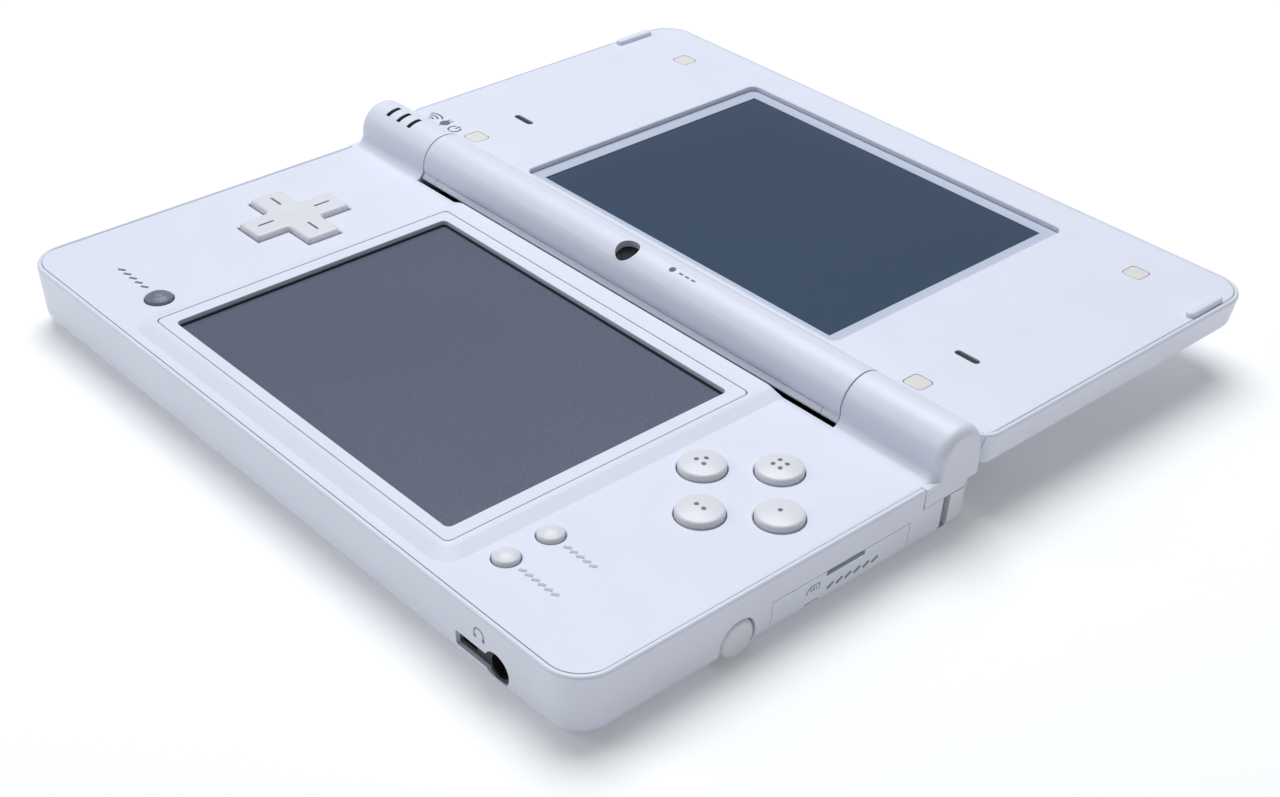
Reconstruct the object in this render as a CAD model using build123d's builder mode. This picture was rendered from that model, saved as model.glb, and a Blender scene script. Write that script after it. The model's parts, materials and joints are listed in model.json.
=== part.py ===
"""Pocket clamshell games handheld, opened flat.

Row frame: +X along the hinge, +Y from the user towards the lid, +Z up. The origin is on the
surface it lies on, under the hinge axis. The base lies at -Y, the opened lid at +Y.
"""
from build123d import *
from math import cos, radians, sin, sqrt
import os

os.makedirs("parts", exist_ok=True)

# ---------------------------------------------------------------- driving dimensions, mm
WIDTH = 137.0                 # along the hinge
REACH = 70.45                 # hinge axis to the far edge of either half
BASE_REAR = 4.7               # rear wall of the base, flush with the hinge barrel
SOLE_Z = 0.4                  # underside of the base, which stands on rubber feet
FACE_Z = 11.2                 # upper face of the base
AXIS_Z = 13.4                 # hinge axis
LID_IN_Z = 14.0               # inner face of the opened lid
LID_OUT_Z = 7.9               # outer face of the opened lid
LID_NEAR = 5.15               # end wall of the lid beside the knuckles

HALF_W = WIDTH / 2
WALL = 1.4                    # side walls of both shells
SKIN = 1.3                    # thickness of both face plates
RIM = 0.8                     # shell rim left around each face plate
SEAM = 0.1                    # gap at a closed joint between two fixed pieces
SPLIT = 0.02                  # gap where two pieces butt together unseen
EASE = 0.12                   # broken edge along a joint or round an opening
BASE_DRAFT = 3.5              # degrees
LID_DRAFT = 10.0
FRONT_R = 6.0                 # plan corners away from the hinge
REAR_R = 4.0                  # plan corners beside the hinge
LID_NEAR_R = 3.0
SOLE_R = 3.0                  # rounding under the base
CAVITY_R = 1.6
LID_EDGE_R = 2.0
RIM_R = 0.45
KNUCKLE_END_R = 1.5

BARREL_R = 4.7                # hinge barrel and both knuckles
BARREL_HALF = 49.35
KNUCKLE_IN = 49.65
KNUCKLE_FRONT = -7.2          # where the knuckle runs out on the face
KNUCKLE_SKIRT_Z = 7.8
KNUCKLE_ROOT_Z = 9.2
BLEND_R = 2.0                 # concave blend from a face up to the barrel
TROUGH_R = 6.35               # hollow of the base that the barrel turns in
TROUGH_SKIN = 0.55
BARREL_BORE_R = 3.55
SHAFT_R = 1.6
BUSH_R, BUSH_L = 2.45, 13.0
CARRIER_L, SHAFT_L = 7.0, 20.0

PLATEAU_Z = 12.2              # raised surround of the touch screen
PLATEAU_HALF = 36.8
PLATEAU_FRONT = -65.5
PLATEAU_SLOPE = 2.6
PLATEAU_SOFT_R = 3.5
PLATEAU_CORNER_R = 1.5
PLATEAU_REAR = -3.0           # inside the knuckles and the hollow

BEZEL_W, BEZEL_D, BEZEL_R = 72.6, 55.1, 1.0
BEZEL_GAP = 0.16
BEZEL_Y = -37.5
VIEW_W, VIEW_D, VIEW_R = 67.9, 51.05, 0.9
VIEW_Y = -37.57
LCD_W, LCD_D = 70.8, 53.4
TOUCH_TOP = 11.2

WINDOW_W, WINDOW_D = 72.9, 54.8
WINDOW_Y = 34.97
UPPER_VIEW_W, UPPER_VIEW_D = 67.6, 50.5
UPPER_VIEW_Y = 34.75

BOARD_Z, BOARD_T = 6.7, 0.8

DPAD_X, DPAD_Y = -51.65, -29.9
DPAD_SPAN, DPAD_ARM = 17.9, 6.15
DPAD_TOP = 12.2               # low enough to clear the closed lid when rocked
PAD_MARK = 5.5                # engraved line on each arm, from the middle of the pad
BUTTON_TOP = 12.5
ACTION_X, ACTION_Y, ACTION_STEP = 52.2, -27.1, 7.6
ACTION_R = 3.5
MENU_X, START_Y, SELECT_Y = 42.9, -52.94, -60.47
MENU_R, MENU_TOP = 1.92, 12.15
POWER_X, POWER_Y, POWER_R = -43.2, -60.58, 2.15
BUTTON_GAP = 0.2

STYLUS_Y, STYLUS_Z = -42.45, 3.75
JACK_X, JACK_Z, JACK_BORE_R = 52.7, 4.1, 1.8
JACK_SLOT = (8.8, 2.4)
SD_DOOR_Y = (-36.35, -9.75)
SD_DOOR_TOP = 6.6
NOTCH_Y, NOTCH_W, NOTCH_DEEP = -22.45, 7.5, 0.8
SHOULDER_Z = (2.1, 7.6)
SHOULDER_IN = 51.4            # inboard end of a shoulder button
SHOULDER_FRONT = -1.4
VOLUME_Y, VOLUME_Z, VOLUME_HALF = -25.0, 5.4, (6.4, 1.35)
CARD_HALF, CARD_Z = 17.9, (2.05, 6.4)
CHARGE_X = -34.0

FLOOR_TOP = SOLE_Z + WALL
PLATE_Z = FACE_Z - SKIN
LID_PLATE_Z = LID_IN_Z - SKIN
BASE_DEPTH = REACH + BASE_REAR
BASE_MID = (BASE_REAR - REACH) / 2
LID_DEPTH = REACH - LID_NEAR
LID_MID = (REACH + LID_NEAR) / 2
AXIS = (0, AXIS_Z)            # hinge axis in a YZ sketch


def save(built, name):
    """Label a finished piece and write it as its own file."""
    built.part.label = name
    export_step(built.part, f"parts/{name}.step")


def span_box(x, y, z, mode=Mode.ADD):
    """Box between three (low, high) ranges, in the part being built."""
    with Locations(((x[0] + x[1]) / 2, (y[0] + y[1]) / 2, (z[0] + z[1]) / 2)):
        Box(x[1] - x[0], y[1] - y[0], z[1] - z[0], mode=mode)


def break_edges():
    """Sink the pending sketch by EASE at 45 degrees, which breaks the edges of an opening."""
    extrude(amount=-EASE, taper=45, mode=Mode.SUBTRACT)


def around_axis(angle, radius=BARREL_R):
    """Point (y, z) on a circle about the hinge; 0 is straight up, positive leans to the user."""
    return (-radius * sin(radians(angle)), AXIS_Z + radius * cos(radians(angle)))


def barrel_blend(face_z, side):
    """Where a concave blend leaves a face and where it meets the barrel, as two (y, z) points."""
    reach = BARREL_R + BLEND_R
    rise = face_z + BLEND_R - AXIS_Z
    run = side * sqrt(reach**2 - rise**2)
    share = BARREL_R / reach
    return (run, face_z), (run * share, AXIS_Z + rise * share)


# ---------------------------------------------------------------- outer form of the base
with BuildPart() as base_form:
    with BuildSketch(Plane.XY.offset(FACE_Z)) as base_outline:
        with Locations((0, BASE_MID)):
            Rectangle(WIDTH, BASE_DEPTH)
        fillet(base_outline.vertices().group_by(Axis.Y)[0], FRONT_R)
        fillet(base_outline.vertices().group_by(Axis.Y)[-1], REAR_R)
    extrude(amount=-(FACE_Z - SOLE_Z), taper=BASE_DRAFT)
    fillet(base_form.edges().group_by(Axis.Z)[0], SOLE_R)

# ---------------------------------------------------------------- base, lower shell
BATTERY_X, BATTERY_Y = (-61.0, -23.0), (-59.0, -11.0)
HATCH_W = BATTERY_X[1] - BATTERY_X[0] - 2.0
HATCH_D = BATTERY_Y[1] - BATTERY_Y[0] - 2.0
HATCH_X = sum(BATTERY_X) / 2
HATCH_Y = sum(BATTERY_Y) / 2
HATCH_T = 1.0
FEET = [(x, y) for x in (-56.0, 56.0) for y in (-62.2, -3.2)]
FOOT_R, FOOT_SINK = 2.4, 0.5
CASE_SCREWS = [(-62.8, -65.0), (62.8, -65.0), (-62.8, -8.2), (62.8, -8.2)]
SCREW_HEAD_R, SCREW_R, BOSS_R = 1.4, 0.8, 2.1

with BuildPart() as base_lower_shell:
    add(base_form.part)
    fillet(base_lower_shell.edges().group_by(Axis.Z)[-1], RIM_R)
    with BuildSketch(Plane.XY.offset(PLATE_Z)) as base_cavity:
        with Locations((0, BASE_MID)):
            RectangleRounded(WIDTH - 2 * WALL, BASE_DEPTH - 2 * WALL, REAR_R - WALL)
    extrude(amount=-(PLATE_Z - FLOOR_TOP), taper=BASE_DRAFT, mode=Mode.SUBTRACT)
    fillet(base_lower_shell.edges().filter_by_position(Axis.Z, FLOOR_TOP - 0.01, FLOOR_TOP + 0.01), CAVITY_R)
    with BuildSketch(Plane.XY.offset(PLATE_Z)) as plate_seat:
        with Locations((0, BASE_MID)):
            RectangleRounded(WIDTH - 2 * RIM, BASE_DEPTH - 2 * RIM, FRONT_R - RIM)
    extrude(amount=SKIN + 1, mode=Mode.SUBTRACT)
    with BuildSketch(Plane.XY.offset(FACE_Z)) as plate_seat_mouth:
        with Locations((0, BASE_MID)):
            RectangleRounded(WIDTH - 2 * (RIM - EASE), BASE_DEPTH - 2 * (RIM - EASE), FRONT_R - RIM + EASE)
    break_edges()
    # hollow under the barrel and the seats of the knuckle skirts
    with BuildSketch(Plane.YZ) as trough_clearance:
        with Locations(AXIS):
            Circle(TROUGH_R + TROUGH_SKIN + SEAM)
    extrude(amount=KNUCKLE_IN + 1, both=True, mode=Mode.SUBTRACT)
    with BuildSketch(Plane.XY.offset(KNUCKLE_SKIRT_Z - SEAM)) as skirt_seats:
        for side in (-1, 1):
            with Locations((side * (KNUCKLE_IN + HALF_W) / 2, KNUCKLE_FRONT - SEAM)):
                Rectangle(HALF_W - KNUCKLE_IN + 2, 20, align=(Align.CENTER, Align.MIN))
    extrude(amount=FACE_Z, mode=Mode.SUBTRACT)
    # screw bosses and their counterbores
    with BuildSketch(Plane.XY.offset(SOLE_Z + 0.8)) as bosses:
        with Locations(*CASE_SCREWS):
            Circle(BOSS_R)
    extrude(amount=5.2)
    with Locations(*[(x, y, SOLE_Z) for x, y in CASE_SCREWS]):
        Cylinder(SCREW_R + SEAM, 20, mode=Mode.SUBTRACT)
        Cylinder(SCREW_HEAD_R + SEAM, 1.6, mode=Mode.SUBTRACT)
    # pockets of the feet, and the battery hatch with its ledge
    with Locations(*[(x, y, SOLE_Z) for x, y in FEET]):
        Cylinder(FOOT_R + SEAM, 2 * FOOT_SINK, mode=Mode.SUBTRACT)
    with BuildSketch(Plane.XY.offset(SOLE_Z)) as hatch_seat:
        with Locations((HATCH_X, HATCH_Y)):
            RectangleRounded(HATCH_W + 2 * SEAM, HATCH_D + 2 * SEAM, 2)
    extrude(amount=HATCH_T, mode=Mode.SUBTRACT)
    with BuildSketch(Plane.XY.offset(SOLE_Z)) as hatch_hole:
        with Locations((HATCH_X, HATCH_Y)):
            RectangleRounded(HATCH_W - 3, HATCH_D - 3, 1)
    extrude(amount=WALL + 1, mode=Mode.SUBTRACT)
    # side windows: shoulder buttons, card door, stylus, volume rocker
    for side in (-1, 1):
        inner, outer = sorted((side * (SHOULDER_IN - 0.3), side * (HALF_W + 1)))
        span_box((inner, outer), (SHOULDER_FRONT - 1.5, BASE_REAR + 1),
                 (SHOULDER_Z[0] - 0.2, SHOULDER_Z[1] + 0.3), Mode.SUBTRACT)
    span_box((HALF_W - 3.4, HALF_W + 1), (SD_DOOR_Y[0] - 0.1, SD_DOOR_Y[1] + 0.1),
             (SOLE_Z - 1, SD_DOOR_TOP + 0.1), Mode.SUBTRACT)
    span_box((-HALF_W - 1, -HALF_W + 3), (VOLUME_Y - VOLUME_HALF[0], VOLUME_Y + VOLUME_HALF[0]),
             (VOLUME_Z - VOLUME_HALF[1], VOLUME_Z + VOLUME_HALF[1]), Mode.SUBTRACT)
    with BuildSketch(Plane.YZ.offset(HALF_W - 6.8)) as stylus_mouth:
        with Locations((STYLUS_Y, STYLUS_Z)):
            Circle(3.2)
        with Locations((STYLUS_Y, STYLUS_Z - 2.5)):
            Rectangle(6.4, 5)
    extrude(amount=9, mode=Mode.SUBTRACT)
    # rear: game card slot and charging socket; front: headset slot and jack
    span_box((-CARD_HALF - 0.3, CARD_HALF + 0.3), (0, BASE_REAR + 1), (CARD_Z[0] - 0.3, CARD_Z[1] + 0.1),
             Mode.SUBTRACT)
    span_box((CHARGE_X - 4.2, CHARGE_X + 4.2), (0, BASE_REAR + 1), (2.6, 5.8), Mode.SUBTRACT)
    with BuildSketch(Plane.XZ.offset(REACH - 2.5)) as jack_mouth:
        with Locations((JACK_X, JACK_Z)):
            Circle(2.5)
        with Locations((JACK_X - 4, JACK_Z)):
            RectangleRounded(*JACK_SLOT, 0.4)
    extrude(amount=4, mode=Mode.SUBTRACT)
save(base_lower_shell, "base_lower_shell")

# ---------------------------------------------------------------- base, face plate with knuckles
ACTIONS = {
    "left": (ACTION_X - ACTION_STEP, ACTION_Y),
    "right": (ACTION_X + ACTION_STEP, ACTION_Y),
    "top": (ACTION_X, ACTION_Y + ACTION_STEP),
    "bottom": (ACTION_X, ACTION_Y - ACTION_STEP),
}
LIGHTS_X = (-63.0, -60.0, -57.0)
LIGHT_W, LIGHT_L, LIGHT_LEAN = 0.95, 2.9, 12.0

with BuildPart() as base_faceplate:
    with BuildSketch(Plane.XY.offset(PLATE_Z)) as plate_outline:
        with Locations((0, -REACH + RIM + SEAM)):
            Rectangle(WIDTH - 2 * (RIM + SEAM), REACH - RIM - 2, align=(Align.CENTER, Align.MIN))
        fillet(plate_outline.vertices().group_by(Axis.Y)[0], FRONT_R - RIM - SEAM)
    extrude(amount=SKIN)
    # raised surround of the touch screen, running out softly to the face
    with BuildSketch(Plane.XY.offset(FACE_Z)) as plateau_foot:
        with Locations((0, PLATEAU_FRONT - PLATEAU_SLOPE)):
            Rectangle(2 * (PLATEAU_HALF + PLATEAU_SLOPE), PLATEAU_SLOPE - PLATEAU_FRONT + PLATEAU_REAR,
                      align=(Align.CENTER, Align.MIN))
        fillet(plateau_foot.vertices().group_by(Axis.Y)[0], PLATEAU_CORNER_R + 2)
    with BuildSketch(Plane.XY.offset(PLATEAU_Z)) as plateau_top:
        with Locations((0, PLATEAU_FRONT)):
            Rectangle(2 * PLATEAU_HALF, PLATEAU_REAR - PLATEAU_FRONT, align=(Align.CENTER, Align.MIN))
        fillet(plateau_top.vertices().group_by(Axis.Y)[0], PLATEAU_CORNER_R)
    loft()
    crest = base_faceplate.edges().filter_by_position(Axis.Z, PLATEAU_Z - 0.01, PLATEAU_Z + 0.01)
    fillet(crest.filter_by(lambda edge: edge.center().Y < PLATEAU_REAR - 0.1), PLATEAU_SOFT_R)
    # knuckles blended into the face, with rounded outer ends
    foot, touch = barrel_blend(FACE_Z, -1)
    rear = around_axis(-90)
    for side in (-1, 1):
        with BuildSketch(Plane.YZ.offset(side * KNUCKLE_IN)) as knuckle:
            with BuildLine():
                RadiusArc(foot, touch, -BLEND_R)
                ThreePointArc(touch, around_axis(0), rear)
                Polyline(rear, (BASE_REAR, KNUCKLE_ROOT_Z), (KNUCKLE_FRONT, KNUCKLE_ROOT_Z),
                         (KNUCKLE_FRONT, FACE_Z), foot)
            make_face()
        extrude(amount=side * (HALF_W - KNUCKLE_IN))
        end = base_faceplate.edges().filter_by_position(Axis.X, side * HALF_W - 0.01, side * HALF_W + 0.01)
        fillet(end.filter_by(lambda edge: edge.center().Z > FACE_Z + 0.3), KNUCKLE_END_R)
    # skirts down the side walls, following their draft
    with BuildSketch(Plane.XY.offset(FACE_Z)) as skirts:
        for side in (-1, 1):
            with Locations((side * (KNUCKLE_IN + HALF_W) / 2, (KNUCKLE_FRONT + BASE_REAR) / 2)):
                Rectangle(HALF_W - KNUCKLE_IN, BASE_REAR - KNUCKLE_FRONT)
        fillet(skirts.vertices().filter_by(lambda v: v.Y > 0 and abs(v.X) > HALF_W - 1), REAR_R)
    extrude(amount=-(FACE_Z - KNUCKLE_SKIRT_Z), taper=BASE_DRAFT)
    # curved floor and end walls of the hollow under the barrel
    with BuildSketch(Plane.YZ) as trough:
        with Locations(AXIS):
            Circle(TROUGH_R + TROUGH_SKIN)
        with Locations((BASE_REAR, FACE_Z)):
            Rectangle(20, 20, align=(Align.MAX, Align.MAX), mode=Mode.INTERSECT)
    extrude(amount=KNUCKLE_IN + 0.8, both=True)
    with BuildSketch(Plane.YZ) as trough_hollow:
        with Locations(AXIS):
            Circle(TROUGH_R)
    extrude(amount=KNUCKLE_IN, both=True, mode=Mode.SUBTRACT)
    # openings: touch screen, direction pad, buttons, hinge bushes, indicator windows
    with BuildSketch(Plane.XY.offset(PLATE_Z - 1)) as openings:
        with Locations((0, BEZEL_Y)):
            RectangleRounded(BEZEL_W + 2 * BEZEL_GAP, BEZEL_D + 2 * BEZEL_GAP, BEZEL_R)
        with Locations((DPAD_X, DPAD_Y)):
            Rectangle(DPAD_SPAN + 2 * BUTTON_GAP, DPAD_ARM + 2 * BUTTON_GAP)
            Rectangle(DPAD_ARM + 2 * BUTTON_GAP, DPAD_SPAN + 2 * BUTTON_GAP)
        with Locations(*ACTIONS.values()):
            Circle(ACTION_R + BUTTON_GAP)
        with Locations((MENU_X, START_Y), (MENU_X, SELECT_Y)):
            Circle(MENU_R + BUTTON_GAP)
        with Locations((POWER_X, POWER_Y)):
            Circle(POWER_R + BUTTON_GAP)
    extrude(amount=SKIN + 4, mode=Mode.SUBTRACT)
    with BuildSketch(Plane.XY.offset(FACE_Z)) as button_mouths:
        with Locations((DPAD_X, DPAD_Y)):
            Rectangle(DPAD_SPAN + 2 * (BUTTON_GAP + EASE), DPAD_ARM + 2 * (BUTTON_GAP + EASE))
            Rectangle(DPAD_ARM + 2 * (BUTTON_GAP + EASE), DPAD_SPAN + 2 * (BUTTON_GAP + EASE))
        with Locations(*ACTIONS.values()):
            Circle(ACTION_R + BUTTON_GAP + EASE)
        with Locations((MENU_X, START_Y), (MENU_X, SELECT_Y)):
            Circle(MENU_R + BUTTON_GAP + EASE)
        with Locations((POWER_X, POWER_Y)):
            Circle(POWER_R + BUTTON_GAP + EASE)
    break_edges()
    with BuildSketch(Plane.YZ) as bush_bore:
        with Locations(AXIS):
            Circle(BUSH_R)
    extrude(amount=KNUCKLE_IN + BUSH_L + 0.3, both=True, mode=Mode.SUBTRACT)
    for x in LIGHTS_X:
        with Locations(Location((x, *around_axis(LIGHT_LEAN, BARREL_R)), (LIGHT_LEAN, 0, 0))):
            Box(LIGHT_W, LIGHT_L, 2.4, mode=Mode.SUBTRACT)
save(base_faceplate, "base_faceplate")

# ---------------------------------------------------------------- base, touch screen
with BuildPart() as touch_bezel:
    with BuildSketch(Plane.XY.offset(PLATE_Z)) as bezel_ring:
        with Locations((0, BEZEL_Y)):
            RectangleRounded(BEZEL_W, BEZEL_D, BEZEL_R)
    extrude(amount=PLATEAU_Z - PLATE_Z)
    fillet(touch_bezel.edges().group_by(Axis.Z)[-1], 0.12)
    with BuildSketch(Plane.XY.offset(PLATE_Z)) as panel_seat:
        with Locations((0, BEZEL_Y)):
            Rectangle(LCD_W + 2 * SEAM, LCD_D + 2 * SEAM)
    extrude(amount=TOUCH_TOP + 0.25 - PLATE_Z, mode=Mode.SUBTRACT)
    with BuildSketch(Plane.XY.offset(PLATE_Z)) as bezel_view:
        with Locations((0, VIEW_Y)):
            RectangleRounded(VIEW_W, VIEW_D, VIEW_R)
    extrude(amount=SKIN + 2, mode=Mode.SUBTRACT)
    fillet(touch_bezel.edges().group_by(Axis.Z)[-1].filter_by(
        lambda edge: abs(edge.center().X) < VIEW_W / 2 + 0.1 and abs(edge.center().Y - VIEW_Y) < VIEW_D / 2 + 0.1),
        0.15)
save(touch_bezel, "touch_bezel")

with BuildPart() as touch_gasket:
    with BuildSketch(Plane.XY.offset(TOUCH_TOP)) as gasket_ring:
        with Locations((0, BEZEL_Y)):
            Rectangle(LCD_W - 0.4, LCD_D - 0.4)
        with Locations((0, VIEW_Y)):
            RectangleRounded(VIEW_W - 0.6, VIEW_D - 0.6, 0.5, mode=Mode.SUBTRACT)
    extrude(amount=0.25)
save(touch_gasket, "touch_gasket")

with BuildPart() as touch_panel:
    with Locations((0, BEZEL_Y, TOUCH_TOP)):
        Box(LCD_W, LCD_D, 1.0, align=(Align.CENTER, Align.CENTER, Align.MAX))
save(touch_panel, "touch_panel")

with BuildPart() as lower_lcd:
    with Locations((0, BEZEL_Y, TOUCH_TOP - 1.0)):
        Box(LCD_W, LCD_D, 2.1, align=(Align.CENTER, Align.CENTER, Align.MAX))
    chamfer(lower_lcd.edges().group_by(Axis.Z)[0], 0.4)
save(lower_lcd, "lower_lcd")

# ---------------------------------------------------------------- base, direction pad
PAD_FLANGE = (8.35, 9.05)
PAD_CORNER_R = 0.75
DISH_R, DISH_DEEP = 25.0, 0.2
PAD_MARK_L, PAD_MARK_W, PAD_MARK_DEEP = 3.1, 0.45, 0.15

with BuildPart() as direction_pad:
    with BuildSketch(Plane.XY.offset(PAD_FLANGE[0])) as flange:
        with Locations((DPAD_X, DPAD_Y)):
            Rectangle(DPAD_SPAN + 1.2, DPAD_ARM + 1.2)
            Rectangle(DPAD_ARM + 1.2, DPAD_SPAN + 1.2)
    extrude(amount=PAD_FLANGE[1] - PAD_FLANGE[0])
    with BuildSketch(Plane.XY.offset(PAD_FLANGE[1])) as cross:
        with Locations((DPAD_X, DPAD_Y)):
            Rectangle(DPAD_SPAN, DPAD_ARM)
            Rectangle(DPAD_ARM, DPAD_SPAN)
        fillet(cross.vertices(), PAD_CORNER_R)
    extrude(amount=DPAD_TOP - PAD_FLANGE[1])
    fillet(direction_pad.edges().group_by(Axis.Z)[-1], 0.6)
    with Locations((DPAD_X, DPAD_Y, DPAD_TOP - DISH_DEEP + DISH_R)):
        Sphere(DISH_R, mode=Mode.SUBTRACT)
    with BuildSketch(Plane.XY.offset(DPAD_TOP - PAD_MARK_DEEP)) as pad_marks:
        with Locations((DPAD_X - PAD_MARK, DPAD_Y), (DPAD_X + PAD_MARK, DPAD_Y)):
            SlotOverall(PAD_MARK_L, PAD_MARK_W)
        with Locations((DPAD_X, DPAD_Y - PAD_MARK), (DPAD_X, DPAD_Y + PAD_MARK)):
            SlotOverall(PAD_MARK_L, PAD_MARK_W, rotation=90)
    extrude(amount=1, mode=Mode.SUBTRACT)
save(direction_pad, "direction_pad")

with BuildPart() as direction_pad_mat:
    with BuildSketch(Plane.XY.offset(BOARD_Z + BOARD_T + 0.2)) as mat:
        with Locations((DPAD_X, DPAD_Y)):
            Circle(3.0)
    extrude(amount=0.4)
save(direction_pad_mat, "direction_pad_mat")


# ---------------------------------------------------------------- base, round push buttons
BUTTON_BASE, BUTTON_FLANGE_T = 9.0, 0.7


def push_button(name, x, y, radius, top, flange=0.8, dome=0.45, edge=0.5):
    """Domed round cap with the flange that holds it under the face plate."""
    dome_r = (radius**2 + dome**2) / (2 * dome)
    with BuildPart() as button:
        with Locations((x, y, BUTTON_BASE)):
            Cylinder(radius, top - BUTTON_BASE, align=(Align.CENTER, Align.CENTER, Align.MIN))
        with Locations((x, y, top - dome_r)):
            Sphere(dome_r, mode=Mode.INTERSECT)
        fillet(button.edges().filter_by(lambda line: line.is_closed).group_by(Axis.Z)[-1], edge)
        with Locations((x, y, BUTTON_BASE)):
            Cylinder(radius + flange, BUTTON_FLANGE_T, align=(Align.CENTER, Align.CENTER, Align.MIN))
    save(button, name)


for place, (x, y) in ACTIONS.items():
    push_button(f"action_button_{place}", x, y, ACTION_R, BUTTON_TOP)
push_button("start_button", MENU_X, START_Y, MENU_R, MENU_TOP, 0.6, 0.5, 0.4)
push_button("select_button", MENU_X, SELECT_Y, MENU_R, MENU_TOP, 0.6, 0.5, 0.4)
push_button("power_button", POWER_X, POWER_Y, POWER_R, MENU_TOP, 0.6, 0.7, 0.35)

with BuildPart() as button_membranes:
    with BuildSketch(Plane.XY.offset(BOARD_Z + BOARD_T)) as webs:
        with Locations((ACTION_X, ACTION_Y)):
            RectangleRounded(24, 24, 4)
        with Locations((MENU_X, (START_Y + SELECT_Y) / 2)):
            RectangleRounded(8, 15, 2)
        with Locations((POWER_X, POWER_Y)):
            Circle(3.6)
    extrude(amount=0.35)
    dome_z = BOARD_Z + BOARD_T
    with Locations(*[(x, y, dome_z) for x, y in ACTIONS.values()]):
        Cone(2.8, 1.9, 0.9, align=(Align.CENTER, Align.CENTER, Align.MIN))
    with Locations((MENU_X, START_Y, dome_z), (MENU_X, SELECT_Y, dome_z), (POWER_X, POWER_Y, dome_z)):
        Cone(1.9, 1.3, 0.9, align=(Align.CENTER, Align.CENTER, Align.MIN))
save(button_membranes, "button_membranes")

# ---------------------------------------------------------------- base, inside
BOARD_W, BOARD_D, BOARD_Y = 126.0, 57.0, -35.5
CHIPS, CHIP_W, CHIP_T = [(-4.0, -40.0), (14.0, -28.0)], 9.0, 0.5
WIFI_SPAN = ((-18.5, -0.5), (-57.5, -45.5), (4.9, BOARD_Z - 0.1))
with BuildPart() as main_board:
    with BuildSketch(Plane.XY.offset(BOARD_Z)) as board:
        with Locations((0, BOARD_Y)):
            RectangleRounded(BOARD_W, BOARD_D, 3)
        with Locations((BATTERY_X[0] - 4, BOARD_Y)):
            Rectangle(6, 12, mode=Mode.SUBTRACT)
    extrude(amount=BOARD_T)
    with Locations(*[(x, y, BOARD_Z + BOARD_T) for x, y in CHIPS]):
        Box(CHIP_W, CHIP_W, CHIP_T, align=(Align.CENTER, Align.CENTER, Align.MIN))
save(main_board, "main_board")

with BuildPart() as wifi_module:
    span_box(*WIFI_SPAN)
    chamfer(wifi_module.edges().group_by(Axis.Z)[0], 0.3)
save(wifi_module, "wifi_module")

with BuildPart() as battery_pack:
    span_box((BATTERY_X[0] + 1.5, BATTERY_X[1] - 1.5), (BATTERY_Y[0] + 1.5, BATTERY_Y[1] - 1.5),
             (FLOOR_TOP + 0.02, BOARD_Z - 0.4))
    fillet(battery_pack.edges().filter_by(Axis.Z), 1.5)
    fillet(battery_pack.edges().group_by(Axis.Z)[-1], 0.6)
save(battery_pack, "battery_pack")

HATCH_SCREWS = [(HATCH_X, HATCH_Y - HATCH_D / 2 + 2.2), (HATCH_X, HATCH_Y + HATCH_D / 2 - 2.2)]
with BuildPart() as battery_cover:
    with BuildSketch(Plane.XY.offset(SOLE_Z)) as hatch:
        with Locations((HATCH_X, HATCH_Y)):
            RectangleRounded(HATCH_W, HATCH_D, 2)
    extrude(amount=HATCH_T - SEAM)
    with Locations(*[(x, y, SOLE_Z) for x, y in HATCH_SCREWS]):
        Cylinder(SCREW_HEAD_R + SEAM, 2 * (HATCH_T - 0.3), mode=Mode.SUBTRACT)
save(battery_cover, "battery_cover")


def cross_head_screws(name, places, low_z, head_t, length, turned_over=False):
    """Pan-head cross-recess screws in one node; the heads face down unless turned over."""
    sign = -1 if turned_over else 1
    up = (Align.CENTER, Align.CENTER, Align.MAX if turned_over else Align.MIN)
    with BuildPart() as screws:
        with Locations(*[(x, y, low_z) for x, y in places]):
            Cylinder(SCREW_HEAD_R, head_t, align=up)
        with Locations(*[(x, y, low_z + sign * head_t) for x, y in places]):
            Cylinder(SCREW_R, length, align=up)
        with Locations(*[(x, y, low_z) for x, y in places]):
            Box(0.35, 1.7, 0.8, mode=Mode.SUBTRACT)
            Box(1.7, 0.35, 0.8, mode=Mode.SUBTRACT)
    save(screws, name)


cross_head_screws("case_screws", CASE_SCREWS, SOLE_Z + 0.15, 0.6, 5.0)
with BuildPart() as battery_cover_screws:
    with Locations(*[(x, y, SOLE_Z + 0.02) for x, y in HATCH_SCREWS]):
        Cylinder(SCREW_HEAD_R, 0.62, align=(Align.CENTER, Align.CENTER, Align.MIN))
        Box(0.35, 1.7, 0.6, mode=Mode.SUBTRACT)
        Box(1.7, 0.35, 0.6, mode=Mode.SUBTRACT)
save(battery_cover_screws, "battery_cover_screws")

with BuildPart() as rubber_feet:
    with Locations(*[(x, y, 0) for x, y in FEET]):
        Cylinder(FOOT_R, SOLE_Z + FOOT_SINK - 0.02, align=(Align.CENTER, Align.CENTER, Align.MIN))
    fillet(rubber_feet.edges().group_by(Axis.Z)[0], 0.12)
save(rubber_feet, "rubber_feet")

CARD_WALL = 0.25
with BuildPart() as game_card_slot:
    span_box((-CARD_HALF - CARD_WALL, CARD_HALF + CARD_WALL), (-33.0, BASE_REAR - WALL - 0.6),
             (CARD_Z[0] - CARD_WALL, CARD_Z[1] + 0.05))
    span_box((-CARD_HALF, CARD_HALF), (-31.0, BASE_REAR), CARD_Z, Mode.SUBTRACT)
    span_box((-CARD_HALF, CARD_HALF), (-31.0, -12.0), (CARD_Z[1] - 0.5, CARD_Z[1] + 1), Mode.SUBTRACT)
save(game_card_slot, "game_card_slot")

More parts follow.
